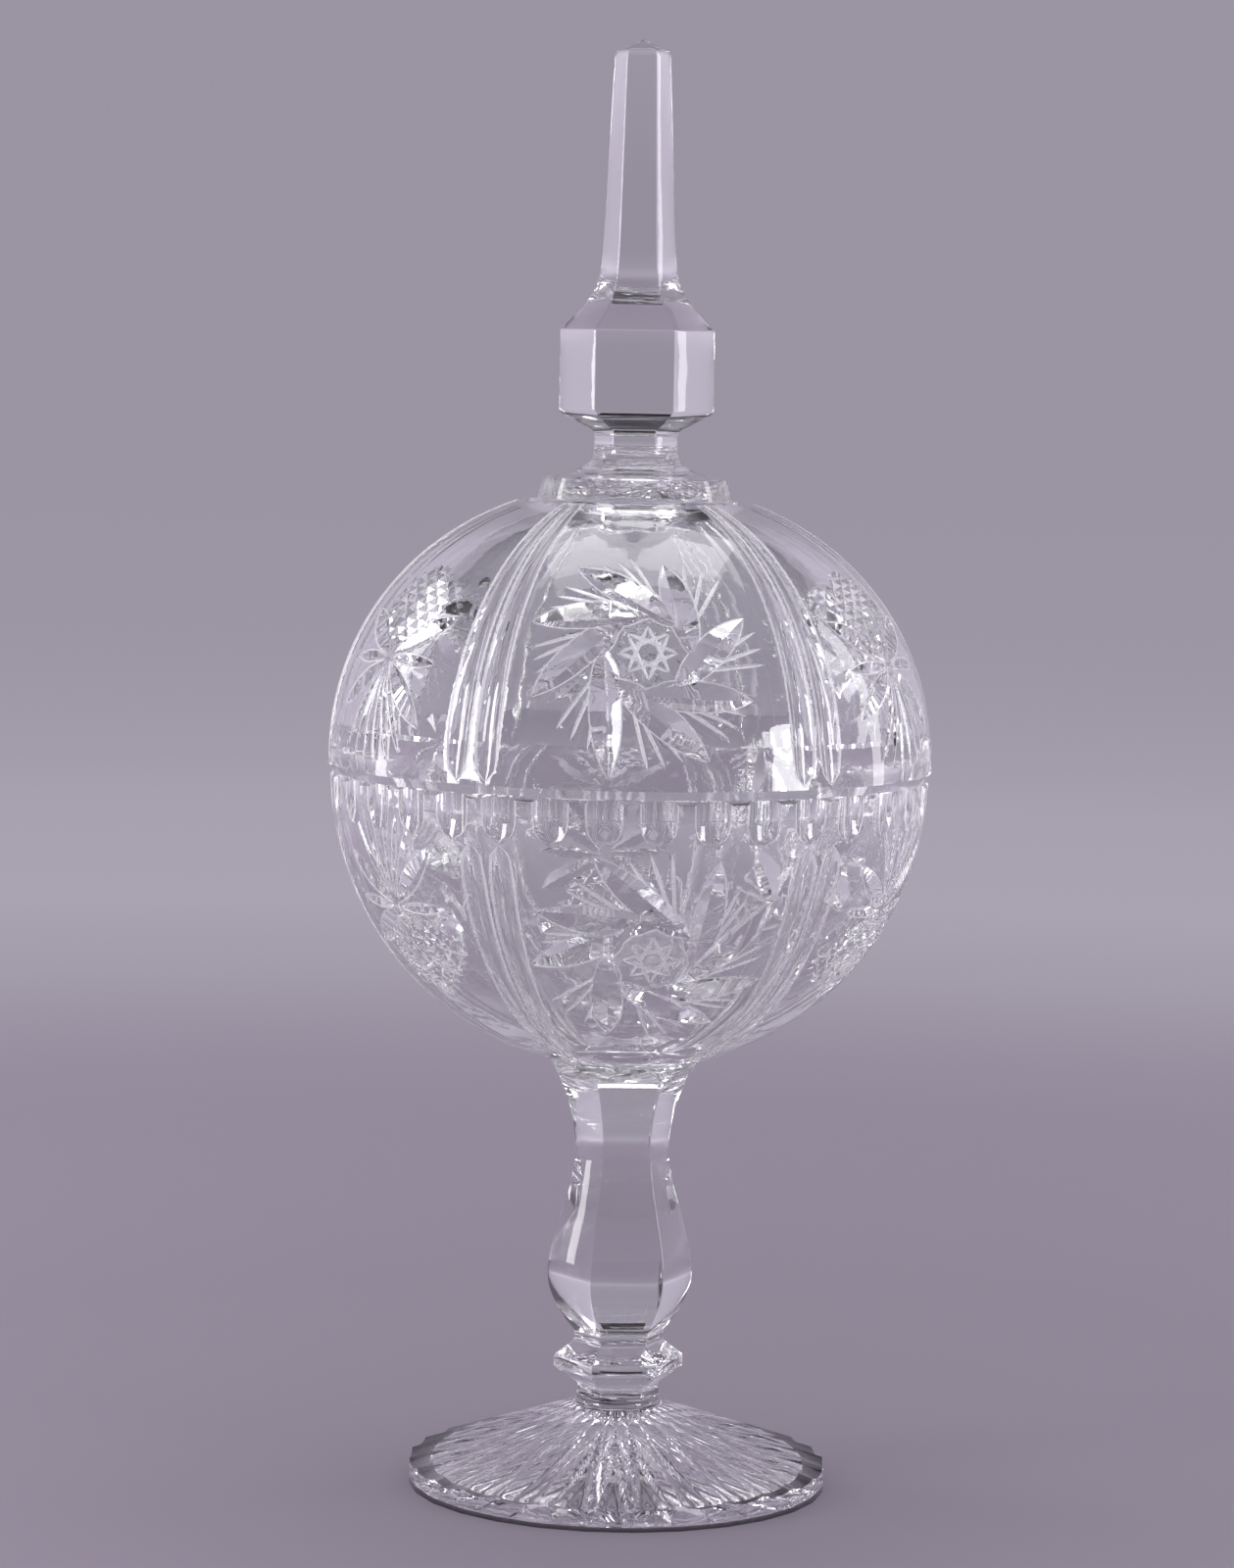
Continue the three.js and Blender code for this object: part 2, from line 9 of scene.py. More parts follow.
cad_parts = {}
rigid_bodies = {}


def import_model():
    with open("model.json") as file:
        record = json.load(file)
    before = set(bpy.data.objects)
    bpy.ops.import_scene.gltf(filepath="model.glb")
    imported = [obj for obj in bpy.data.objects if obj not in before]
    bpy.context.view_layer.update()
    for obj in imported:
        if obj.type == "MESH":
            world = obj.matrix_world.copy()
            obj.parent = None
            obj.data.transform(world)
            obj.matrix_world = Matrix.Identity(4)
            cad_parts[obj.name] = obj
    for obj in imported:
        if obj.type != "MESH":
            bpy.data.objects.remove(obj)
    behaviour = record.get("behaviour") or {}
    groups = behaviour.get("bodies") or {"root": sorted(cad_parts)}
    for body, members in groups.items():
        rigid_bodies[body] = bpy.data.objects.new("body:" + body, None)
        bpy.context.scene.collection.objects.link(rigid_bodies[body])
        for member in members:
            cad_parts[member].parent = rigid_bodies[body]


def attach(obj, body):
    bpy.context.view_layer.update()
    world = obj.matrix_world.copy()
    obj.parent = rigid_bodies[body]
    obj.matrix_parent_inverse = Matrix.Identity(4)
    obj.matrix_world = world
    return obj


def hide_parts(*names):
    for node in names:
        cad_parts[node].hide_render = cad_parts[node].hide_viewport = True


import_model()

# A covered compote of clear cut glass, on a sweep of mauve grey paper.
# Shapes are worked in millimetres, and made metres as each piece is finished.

scene = bpy.context.scene
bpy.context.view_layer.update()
millimetre = 0.001  # in metres
polish, fused, satin = range(3)  # material slots of every piece

limits = {
    "turned": 0.0005,  # points of a turned shape that are closer than this are one
    "swept": 0.0001,  # and those of a swept shape
    "level": 0.99,  # how nearly a level face looks straight up or down
    "joint": 0.02,  # how near to its height a fused face lies
    "keen": 30.0,  # degrees of turn that make an edge worth softening
    "sharp": 24.0,  # and those that keep it sharp in the shading
}

print("frame loaded")


# Node trees


class Signal:
    # A shader socket that takes part in Python sums, each of which adds its Math node
    def __init__(self, tree, socket):
        self.tree = tree
        self.socket = socket

    def node(self, kind, settings, inputs, output=0):
        # Adds a node, sets it up, and gives its sockets their values or links
        made = self.tree.nodes.new(kind)
        for name, value in settings.items():
            if name == "stops":
                setStops(made.color_ramp, value)
            else:
                setattr(made, name, value)
        for name, value in inputs.items():
            if isinstance(value, Signal):
                self.tree.links.new(value.socket, made.inputs[name])
            else:
                made.inputs[name].default_value = value
        if made.outputs:
            return Signal(self.tree, made.outputs[output])

    def maths(self, operation, first, second):
        return self.node("ShaderNodeMath", {"operation": operation}, {0: first, 1: second})

    def __add__(self, other):
        return self.maths("ADD", self, other)

    def __radd__(self, other):
        return self.maths("ADD", other, self)

    def __sub__(self, other):
        return self.maths("SUBTRACT", self, other)

    def __rsub__(self, other):
        return self.maths("SUBTRACT", other, self)

    def __mul__(self, other):
        return self.maths("MULTIPLY", self, other)

    def __rmul__(self, other):
        return self.maths("MULTIPLY", other, self)


def setStops(ramp, stops):
    while len(ramp.elements) < len(stops):
        ramp.elements.new(1.0)
    for element, (position, colour) in zip(ramp.elements, stops):
        element.position = position
        element.color = (*colour, 1.0)


def newMaterial(name):
    material = bpy.data.materials.new(name)
    material.use_nodes = True
    material.node_tree.nodes.clear()
    return material, Signal(material.node_tree, None)


# Glass

glass = {
    "index": 1.54,  # of refraction
    "colour": (0.985, 0.988, 0.992, 1.0),
    "roughness": 0.004,
    "wear": (0.6, 0.8),  # share of the roughness that is everywhere, and how much more the fine noise adds
    "wave": 0.00013,  # how far the polished surface wanders, in metres
    "slowNoise": (70.0, 2.5),  # scale and detail
    "fineNoise": (700.0, 3.0),
    "fineShare": 0.03,  # of the fine noise in the wave
    "shadow": (0.88, 0.87, 0.90, 1.0),  # what a ray of light keeps at each face
}

frosting = {
    "colour": (0.96, 0.965, 0.975, 1.0),
    "roughness": 0.30,
    "wear": (0.7, 0.6),
    "noise": (1500.0, 2.0),
    "clearness": 0.62,
}


def noise(make, scale, detail):
    place = make.node("ShaderNodeTexCoord", {}, {}, "Object")
    return make.node("ShaderNodeTexNoise", {}, {"Vector": place, "Scale": scale, "Detail": detail}, "Fac")


def finishGlass(make, shader):
    # Light on its way from a lamp goes straight on, so that glass throws a pale shadow
    through = make.node("ShaderNodeBsdfTransparent", {}, {"Color": glass["shadow"]})
    shade = make.node("ShaderNodeLightPath", {}, {}, "Is Shadow Ray")
    mixed = make.node("ShaderNodeMixShader", {}, {0: shade, 1: shader, 2: through})
    make.node("ShaderNodeOutputMaterial", {}, {"Surface": mixed})


def crystalMaterial():
    # Clear glass whose hand-polished surface wanders a little
    material, make = newMaterial("crystal")
    slow = noise(make, *glass["slowNoise"])
    fine = noise(make, *glass["fineNoise"])
    height = slow + glass["fineShare"] * fine
    wander = make.node("ShaderNodeBump", {}, {"Height": height, "Distance": glass["wave"], "Strength": 1.0})
    everywhere, more = glass["wear"]
    shader = make.node("ShaderNodeBsdfPrincipled", {}, {
        "Base Color": glass["colour"],
        "IOR": glass["index"],
        "Transmission Weight": 1.0,
        "Roughness": glass["roughness"] * (everywhere + more * fine),
        "Normal": wander,
    })
    finishGlass(make, shader)
    return material


def satinMaterial():
    # Fine cuts and rims that the last polish left a little frosted
    material, make = newMaterial("satinCut")
    everywhere, more = frosting["wear"]
    shader = make.node("ShaderNodeBsdfPrincipled", {}, {
        "Base Color": frosting["colour"],
        "IOR": glass["index"],
        "Transmission Weight": frosting["clearness"],
        "Roughness": frosting["roughness"] * (everywhere + more * noise(make, *frosting["noise"])),
    })
    finishGlass(make, shader)
    return material


def jointMaterial():
    # Pieces are fused here, so that light goes straight on from one into the next
    material, make = newMaterial("fusedJoint")
    through = make.node("ShaderNodeBsdfTransparent", {}, {"Color": (1.0, 1.0, 1.0, 1.0)})
    make.node("ShaderNodeOutputMaterial", {}, {"Surface": through})
    return material


slots = (crystalMaterial(), jointMaterial(), satinMaterial())


# Shapes


def radians(degrees):
    return degrees * math.pi / 180


def curvePoints(ends, handles, count):
    # Points of a Bezier curve in the plane of a profile
    flat = [Vector((x, y, 0.0)) for x, y in (ends[0], handles[0], handles[1], ends[1])]
    return [(p.x, p.y) for p in interpolate_bezier(*flat, count)]


def turnedShape(points, steps, turn=0.0):
    # Spins a profile of radius and height about the upright axis
    shape = bmesh.new()
    corners = [shape.verts.new((0.0, -radius, height)) for radius, height in points]
    edges = [shape.edges.new(pair) for pair in zip(corners, corners[1:])]
    bmesh.ops.spin(
        shape, geom=corners + edges, cent=(0, 0, 0), axis=(0, 0, 1),
        angle=math.tau, steps=steps, use_merge=True,
    )
    around = Matrix.Rotation(radians(turn), 3, "Z")
    bmesh.ops.rotate(shape, verts=shape.verts, cent=(0, 0, 0), matrix=around)
    bmesh.ops.remove_doubles(shape, verts=shape.verts, dist=limits["turned"])
    bmesh.ops.recalc_face_normals(shape, faces=shape.faces)
    return shape


def sweptShape(rings, places, finishes=(polish,)):
    # Bends a grid so that each row takes the ring of points of one place, and closes both ends
    shape = bmesh.new()
    columns = len(rings[0])
    bmesh.ops.create_grid(shape, x_segments=columns, y_segments=len(places) - 1, size=1.0)
    spots = [place @ Vector((0.0, *point)) for ring, place in zip(rings, places) for point in ring + ring[:1]]
    for corner, spot in zip(shape.verts, spots):
        corner.co = spot
    for number, face in enumerate(shape.faces):
        face.material_index = finishes[number % columns % len(finishes)]
    bmesh.ops.remove_doubles(shape, verts=shape.verts, dist=limits["swept"])
    bmesh.ops.holes_fill(shape, edges=shape.edges, sides=0)
    bmesh.ops.recalc_face_normals(shape, faces=shape.faces)
    return shape


def softened(shape, width):
    # Takes the keenness off the edges of a shape
    keen = radians(limits["keen"])
    edges = [edge for edge in shape.edges if len(edge.link_faces) == 2 and edge.calc_face_angle(0) > keen]
    bmesh.ops.bevel(
        shape, geom=edges, offset=width, offset_type="OFFSET", segments=2,
        profile=0.5, affect="EDGES", clamp_overlap=True, material=-1,
    )
    return shape


def meshOf(shape, name):
    mesh = bpy.data.meshes.new(name)
    shape.to_mesh(mesh)
    shape.free()
    return mesh


def glassMesh(shape, name):
    mesh = meshOf(shape, name)
    for material in slots:
        mesh.materials.append(material)
    return mesh


def carved(blank, cutters, operation="DIFFERENCE"):
    # Cuts a list of shapes out of a blank
    piece = bpy.data.objects.new("blank", glassMesh(blank, "blank"))
    scene.collection.objects.link(piece)
    wheels = bpy.data.collections.new("wheels")
    scene.collection.children.link(wheels)
    for cutter in cutters:
        wheels.objects.link(bpy.data.objects.new("wheel", glassMesh(cutter, "wheel")))
    cut = piece.modifiers.new("cut", "BOOLEAN")
    cut.operation = operation
    cut.operand_type = "COLLECTION"
    cut.collection = wheels
    cut.solver = "MANIFOLD"
    seen = piece.evaluated_get(bpy.context.evaluated_depsgraph_get())
    shape = bmesh.new()
    shape.from_mesh(seen.data)
    for wheel in list(wheels.objects):
        bpy.data.objects.remove(wheel)
    bpy.data.collections.remove(wheels)
    bpy.data.objects.remove(piece)
    return shape


def finishPiece(shape, name, node, body, joints):
    # Gives a shape its smooth shading and its materials, and seats it on its body
    for face in shape.faces:
        centre = face.calc_center_median()
        face.smooth = True
        if abs(face.normal.z) > limits["level"]:
            for height, radius in joints:
                if abs(centre.z - height) < limits["joint"] and centre.xy.length < radius:
                    face.material_index = fused
    bmesh.ops.scale(shape, vec=(millimetre, millimetre, millimetre), verts=shape.verts)
    mesh = glassMesh(shape, name)
    mesh.set_sharp_from_angle(angle=radians(limits["sharp"]))
    piece = bpy.data.objects.new(name, mesh)
    scene.collection.objects.link(piece)
    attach(piece, body)
    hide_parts(node)
    mesh.calc_loop_triangles()
    print(name, len(mesh.loop_triangles), "triangles")


# Places on the two balls of glass. Azimuths run from the front towards the right.

ballSteps = {"around": 216, "outside": 70, "inside": 48}


def outline(ball, elevation):
    across = math.cos(elevation)
    up = math.sin(elevation)
    share = (across / ball["reach"]) ** ball["fullness"] + (abs(up) / ball["rise"]) ** ball["fullness"]
    distance = share ** (-1 / ball["fullness"])
    return across * distance, ball["middle"] + up * distance


def elevationAt(ball, height):
    share = (abs(height) / ball["rise"]) ** ball["fullness"]
    return math.atan2(height, ball["reach"] * (1 - share) ** (1 / ball["fullness"]))


def outlineArc(ball, first, last, count):
    return [outline(ball, first + (last - first) * i / count) for i in range(count + 1)]


def surface(ball, aim):
    # The place on the ball in a direction from its middle, and its outward normal
    level = Vector((aim.x, aim.y, 0.0)).normalized()
    radius, height = outline(ball, math.atan2(aim.z, math.hypot(aim.x, aim.y)))
    rise = height - ball["middle"]
    power = ball["fullness"] - 1
    normal = level * ((radius / ball["reach"]) ** power / ball["reach"])
    normal.z = math.copysign((abs(rise) / ball["rise"]) ** power / ball["rise"], rise)
    spot = level * radius
    spot.z = height
    return spot, normal.normalized()


def aimAt(azimuth, elevation):
    level = math.cos(elevation)
    return Vector((level * math.sin(azimuth), -level * math.cos(azimuth), math.sin(elevation)))


def placesAlong(ball, aims, depths):
    # A frame at each aim, sunk by its depth, with X along the row and Z out of the glass
    spots = [surface(ball, aim) for aim in aims]
    places = []
    for i, (spot, normal) in enumerate(spots):
        ahead = spots[min(i + 1, len(spots) - 1)][0] - spots[max(i - 1, 0)][0]
        side = normal.cross(ahead).normalized()
        turn = Matrix((side.cross(normal), side, normal)).transposed().to_4x4()
        places.append(Matrix.Translation(spot - normal * depths[i]) @ turn)
    return places


# Cutting wheels: slope and rounding of the groove's sides, and how its depth runs out along its length.

groove = {
    "bottomSteps": 4,
    "rimShares": (0.7, 0.4, 0.15),  # of the slope, at each point of a rounded rim
    "rimEnd": (0.5, 0.05),  # how far the tool goes on past the rim, across and up
    "brim": (0.2, 1.5),  # how much further out its top edge is, and how high above the glass
}

bladeWheel = {
    "depth": 2.7, "slope": 33.0, "bottom": 0.0, "rim": 1.0, "taper": 2.3, "rows": 20, "finish": polish,
}
petalWheel = {
    "depth": 2.0, "slope": 33.0, "bottom": 0.0, "rim": 0.9, "taper": 2.2, "rows": 16, "finish": polish,
}
fineWheel = {
    "depth": 0.32, "slope": 35.0, "bottom": 0.1, "rim": 0.25, "taper": 4.0, "rows": 12, "finish": satin,
}
rayWheel = {
    "depth": 0.6, "slope": 35.0, "bottom": 0.0, "rim": 0.6, "taper": 3.0, "rows": 14, "finish": polish,
}
diamondWheel = {
    "depth": 1.15, "slope": 34.0, "bottom": 0.0, "rim": 0.0, "taper": 8.0, "rows": 10, "finish": polish,
}
fluteWheel = {
    "depth": 1.25, "slope": 50.0, "bottom": 5.2, "rim": 1.6, "rows": 30, "finish": polish,
}
printWheel = {
    "depth": 1.6, "slope": 40.0, "bottom": 8.0, "rim": 0.8, "taper": 4.0, "rows": 20, "finish": polish,
}


def grooveRing(ball, depth, wheel, size=1.0):
    # The outline that a wheel cuts: a round bottom, straight sides and rounded rims that run out on the ball
    bottom, rim = wheel["bottom"] * size, wheel["rim"] * size
    slope = radians(wheel["slope"])
    bend = (bottom + rim) * (1 - math.cos(slope))
    straight = max(0.0, depth - bend) / math.sin(slope)
    if depth < bend:
        slope = math.acos(1 - depth / (bottom + rim))
    steps = groove["bottomSteps"] if bottom else 1
    turns = [slope * i / steps for i in range(steps)]
    half = [(bottom * math.sin(turn), bottom * (1 - math.cos(turn))) for turn in turns]
    across = bottom * math.sin(slope) + straight * math.cos(slope)
    up = bottom * (1 - math.cos(slope)) + straight * math.sin(slope)
    half.append((across, up))
    if rim:
        for share in groove["rimShares"]:
            turn = slope * share
            outward = across + rim * (math.sin(slope) - math.sin(turn))
            half.append((outward, up + rim * (math.cos(turn) - math.cos(slope))))
        aside, rise = groove["rimEnd"]
        half.append((half[-1][0] + aside, half[-1][1] + rise))
    aside, rise = groove["brim"]
    half.append((half[-1][0] + aside, depth + rise))
    half = [(x, z - x * x / (2 * ball["reach"])) for x, z in half]
    return [(-x, z) for x, z in reversed(half[1:])] + half


def grooveFinish(wheel):
    # Which material each strip of that outline takes: the wheel's own between its rims, satin on them
    inside = [wheel["finish"]] * (groove["bottomSteps"] if wheel["bottom"] else 1)
    rims = [satin] * (len(groove["rimShares"]) + 1) if wheel["rim"] else []
    half = inside + rims + [polish]
    return half[::-1] + half + [polish]


def grooveCut(ball, panel, start, end, wheel, depth=None):
    # A groove from one place of a panel to another, deepest half way
    azimuth, elevation = radians(panel[0]), radians(panel[1])
    out = aimAt(azimuth, elevation)
    right = Vector((math.cos(azimuth), math.sin(azimuth), 0.0))
    up = out.cross(right)
    deepest = wheel["depth"] if depth is None else depth
    rows = wheel["rows"]
    aims = []
    depths = []
    for i in range(rows + 1):
        share = i / rows
        across = start[0] + (end[0] - start[0]) * share
        along = start[1] + (end[1] - start[1]) * share
        aims.append(out * ball["reach"] + right * across + up * along)
        depths.append(deepest * (1 - abs(2 * share - 1) ** wheel["taper"]))
    rings = [grooveRing(ball, sunk, wheel) for sunk in depths]
    return sweptShape(rings, placesAlong(ball, aims, depths), grooveFinish(wheel))


# The cut pattern, in degrees and in millimetres on the ball

cuts = {
    "repeats": 3,  # of the whole pattern round the ball
    "hub": 11.6,  # distance of a blade's line from the middle of the pinwheel
    "bladeStart": -4.0,
    "fanLines": 3,
    "fanStart": (3.0, 1.0),  # along the blade, then along the line
    "fanLength": 23.0,
    "fanSteps": (1.0, 2.0),  # how much further out each next line starts, and how much shorter it is
    "hubPoints": 8,
    "hubSkip": 3,  # points from one end of a line of the hub's star to the other
    "hubStar": 7.6,
    "hubFacet": (10.2, 9.6, 0.85),  # distance, length and depth
    "petalStart": 1.5,
    "petals": (  # bearing, length and depth
        (0, 20, 1.1), (35, 26, 2.0), (145, 26, 2.0), (180, 20, 1.1), (214, 25, 1.7), (318, 27, 1.9),
    ),
    "rays": (242, 253, 264, 276, 287, 298),
    "rayStart": 4.0,
    "rayLength": 25.0,
    "pyramidLines": 6,
    "pyramidBearings": (45, 135),
    "pyramidPitch": 3.75,
    "pyramidPatch": 13.0,
    "pyramidOverrun": 1.0,
    "pyramidPlace": 17.0,
    "pairOffset": 33.2,
    "fluteSpacing": 6.2,
    "fluteEntry": 3.0,  # how fast a flute gets deep
}
panelMiddle = (0.0, 0.0)


def ray(origin, bearing, length):
    turn = radians(bearing)
    return (origin[0] + length * math.cos(turn), origin[1] + length * math.sin(turn))


def pinwheelCuts(ball, panel):
    # Broad blades whose lines pass the middle at a distance, and a fan of fine lines between each two
    made = []
    bearings = ball["blades"]
    alongBlade, alongLine = cuts["fanStart"]
    further, shorter = cuts["fanSteps"]
    for i, bearing in enumerate(bearings):
        root = ray(panelMiddle, bearing - 90, cuts["hub"])
        start = ray(root, bearing, cuts["bladeStart"])
        made.append(grooveCut(ball, panel, start, ray(start, bearing, ball["lengths"][i]), bladeWheel))
        gap = (bearing - bearings[i - 1]) % 360
        for j in range(cuts["fanLines"]):
            lean = bearing - gap * (j + 1) / (cuts["fanLines"] + 1)
            first = ray(ray(root, bearing, alongBlade), lean, alongLine + further * j)
            last = ray(first, lean, cuts["fanLength"] - shorter * j)
            made.append(grooveCut(ball, panel, first, last, fineWheel))
    return made


def hubCuts(ball, panel):
    # A small star of crossing lines inside a ring of short cuts
    made = []
    distance, length, depth = cuts["hubFacet"]
    step = 360 / cuts["hubPoints"]
    for i in range(cuts["hubPoints"]):
        first = ray(panelMiddle, step * i, cuts["hubStar"])
        second = ray(panelMiddle, step * (i + cuts["hubSkip"]), cuts["hubStar"])
        made.append(grooveCut(ball, panel, first, second, fineWheel))
        between = step * (i + 0.5)
        middle = ray(panelMiddle, between, distance)
        ends = [ray(middle, between + side, length / 2) for side in (-90, 90)]
        made.append(grooveCut(ball, panel, *ends, petalWheel, depth))
    return made


def starCuts(ball, panel):
    # Petals around the middle of a panel, a sheaf of rays below and a patch of pyramids above, or upside down
    upright = ball["upright"]
    made = []
    for bearing, length, depth in cuts["petals"]:
        start = ray(panelMiddle, upright * bearing, cuts["petalStart"])
        end = ray(panelMiddle, upright * bearing, length)
        made.append(grooveCut(ball, panel, start, end, petalWheel, depth))
    for bearing in cuts["rays"]:
        start = ray(panelMiddle, upright * bearing, cuts["rayStart"])
        end = ray(start, upright * bearing, cuts["rayLength"])
        made.append(grooveCut(ball, panel, start, end, rayWheel))
    return made + pyramidCuts(ball, panel, upright)


def pyramidCuts(ball, panel, upright):
    # Two sets of crossing grooves that leave a patch of small pyramids
    made = []
    middle = (0.0, upright * cuts["pyramidPlace"])
    for bearing in cuts["pyramidBearings"]:
        for i in range(cuts["pyramidLines"]):
            offset = (i - (cuts["pyramidLines"] - 1) / 2) * cuts["pyramidPitch"]
            half = math.sqrt(cuts["pyramidPatch"] ** 2 - offset ** 2) + cuts["pyramidOverrun"]
            centre = ray(middle, bearing + 90, offset)
            ends = [ray(centre, bearing + side, half) for side in (0, 180)]
            made.append(grooveCut(ball, panel, *ends, diamondWheel))
    return made


def fluteCut(ball, azimuth):
    # A round-bottomed flute that narrows as it nears the axis
    first, last = (radians(angle) for angle in ball["flutes"])
    widest = outline(ball, first)[0]
    aims = []
    depths = []
    rings = []
    for i in range(fluteWheel["rows"] + 1):
        share = i / fluteWheel["rows"]
        elevation = first + (last - first) * share
        size = outline(ball, elevation)[0] / widest
        depth = fluteWheel["depth"] * size * min(1.0, cuts["fluteEntry"] * math.sqrt(share))
        aims.append(aimAt(radians(azimuth), elevation))
        depths.append(depth)
        rings.append(grooveRing(ball, depth, fluteWheel, size))
    return sweptShape(rings, placesAlong(ball, aims, depths), grooveFinish(fluteWheel))


def patternCuts(ball):
    made = []
    step = 360 / cuts["repeats"]
    for repeat in range(cuts["repeats"]):
        azimuth = ball["turn"] + step * repeat
        made += pinwheelCuts(ball, (azimuth, ball["pinwheel"]))
        made += hubCuts(ball, (azimuth, ball["pinwheel"]))
        made += starCuts(ball, (azimuth + step / 2, ball["star"]))
        for side in (-1, 1):
            for half in (-0.5, 0.5):
                made.append(fluteCut(ball, azimuth + side * cuts["pairOffset"] + half * cuts["fluteSpacing"]))
    return made


# Foot

foot = {
    "radius": 56.8,
    "flutes": 28,
    "turn": 5.1,
    "edge": 6.7,
    "shoulder": (15.5, 21.2),  # radius and height
    "shoulderSteps": 12,
    "height": 25.0,
    "neck": 11.2,
    "fluteDepth": 1.1,
    "fluteSides": 160,
    "fluteSpan": (0.8, 1.2),  # where its cone starts and ends, in shoulders and in lengths of the slope
    "ring": 7.5,  # width of the ring that it stands on
    "hollow": 2.6,
    "hollowSides": 224,
    "hollowSteps": 24,
    "hollowHandles": ((0.7, 0.7), (0.4, 1.0)),  # shares of its radius and height
    "hollowDrop": 2.0,  # how far its tool reaches below the foot
    "rays": 14,
    "rayDepth": 2.2,
    "rayAngle": 60.0,
    "raySteps": 24,  # from the middle to the end
    "rayReach": 1.04,  # share of the hollow's radius
    "rayTool": 1.5,  # height of its tool, in depths of the groove
}


def footShape():
    shoulder = foot["shoulder"]
    slope = (shoulder[1] - foot["edge"]) / (foot["radius"] - shoulder[0])
    apex = foot["edge"] + slope * foot["radius"]
    turnIn = (foot["neck"], apex - slope * foot["neck"])
    top = (foot["neck"], foot["height"])
    neck = curvePoints((shoulder, top), (turnIn, turnIn), foot["shoulderSteps"])
    side = [(foot["radius"], 0.0), (foot["radius"], foot["edge"])]
    profile = [(0.0, 0.0), *side, *neck, (0.0, foot["height"])]
    blank = turnedShape(profile, foot["flutes"], foot["turn"])
    return carved(blank, footFlutes(apex) + footUnderside())


def footFlutes(apex):
    # Cones whose tip lies on the axis, so that neighbours meet along the ridges
    flutes = foot["flutes"]
    halfWidth = foot["radius"] * math.sin(math.pi / flutes)
    apothem = foot["radius"] * math.cos(math.pi / flutes)
    fall = math.atan((apex - foot["edge"]) / apothem)
    length = apothem / math.cos(fall)
    ridge = math.atan(halfWidth / length)
    depth = math.atan(foot["fluteDepth"] / length)
    tilt = math.atan((math.cos(depth) - math.cos(ridge)) / math.sin(depth))
    paintedSideLight = math.tan(tilt + depth)
    near = foot["shoulder"][0] * foot["fluteSpan"][0]
    far = length * foot["fluteSpan"][1]
    lean = Matrix.Rotation(fall - tilt - math.pi / 2, 4, "X")
    made = []
    for i in range(flutes):
        azimuth = radians(foot["turn"]) + math.tau * (i + 0.5) / flutes
        shape = bmesh.new()
        bmesh.ops.create_cone(
            shape, cap_ends=True, segments=foot["fluteSides"],
            radius1=far * paintedSideLight, radius2=near * paintedSideLight, depth=far - near,
        )
        bmesh.ops.translate(shape, verts=shape.verts, vec=(0.0, 0.0, -(near + far) / 2))
        around = Matrix.Rotation(azimuth, 4, "Z")
        bmesh.ops.transform(shape, matrix=Matrix.Translation((0, 0, apex)) @ around @ lean, verts=shape.verts)
        made.append(shape)
    return made


def footUnderside():
    # A shallow dome, and grooves across it that cross in the middle as a star
    radius = foot["radius"] * math.cos(math.pi / foot["flutes"]) - foot["ring"]
    hollow = foot["hollow"]
    handles = [(radius * across, hollow * up) for across, up in foot["hollowHandles"]]
    dome = curvePoints(((radius, 0.0), (0.0, hollow)), handles, foot["hollowSteps"])
    below = -foot["hollowDrop"]
    made = [turnedShape([(0.0, below), (radius, below), *dome], foot["hollowSides"], foot["turn"])]
    depth = hollow + foot["rayDepth"]
    tall = foot["rayTool"] * depth
    half = tall * math.tan(radians(foot["rayAngle"]))
    ring = [(0.0, 0.0), (half, tall), (-half, tall)]
    steps = foot["raySteps"]
    down = Matrix.Rotation(math.pi, 4, "X")
    for i in range(foot["rays"]):
        azimuth = radians(foot["turn"]) + math.pi * i / foot["rays"]
        across = Matrix.Rotation(azimuth - math.pi / 2, 4, "Z")
        places = []
        for j in range(-steps, steps + 1):
            reach = radius * foot["rayReach"] * j / steps
            height = depth * (1 - (reach / radius) ** 2)
            places.append(across @ Matrix.Translation((reach, 0.0, height)) @ down)
        made.append(sweptShape([ring] * len(places), places))
    return made


# Stem. Here, in the collar and in the finial, a pair of numbers with no note is a radius and a height.

hexagon = 6
roundSides = 96

stem = {
    "turn": 36.5,
    "base": 25.0,
    "height": 92.4,
    "neck": (11.2, 2.7),
    "knop": (17.85, 7.2, 10.5),  # radius, and the heights where its flat starts and ends
    "waist": (12.4, 14.6, 17.4),
    "bulb": (19.95, 33.0),
    "shank": (12.95, 68.0),
    "top": 20.5,
    "runout": (1.0, 5.0),  # how high the round ends are
    "curveSteps": (18, 24, 40),  # of the swell, the draw and the flare
    "blankWidth": 1.3,  # in radii of the bulb
    "softEdge": 0.6,
}


def sixSided(profile, blank, turn, edge):
    # A six-sided shape whose sides run out into the round ends of its blank
    shape = softened(turnedShape(profile, hexagon, turn), edge)
    return carved(shape, [turnedShape(blank, roundSides, turn)], "INTERSECT")


def aroundCircle(radius):
    # Radius to the corners of a hexagon that goes round a circle
    return radius / math.cos(math.pi / hexagon)


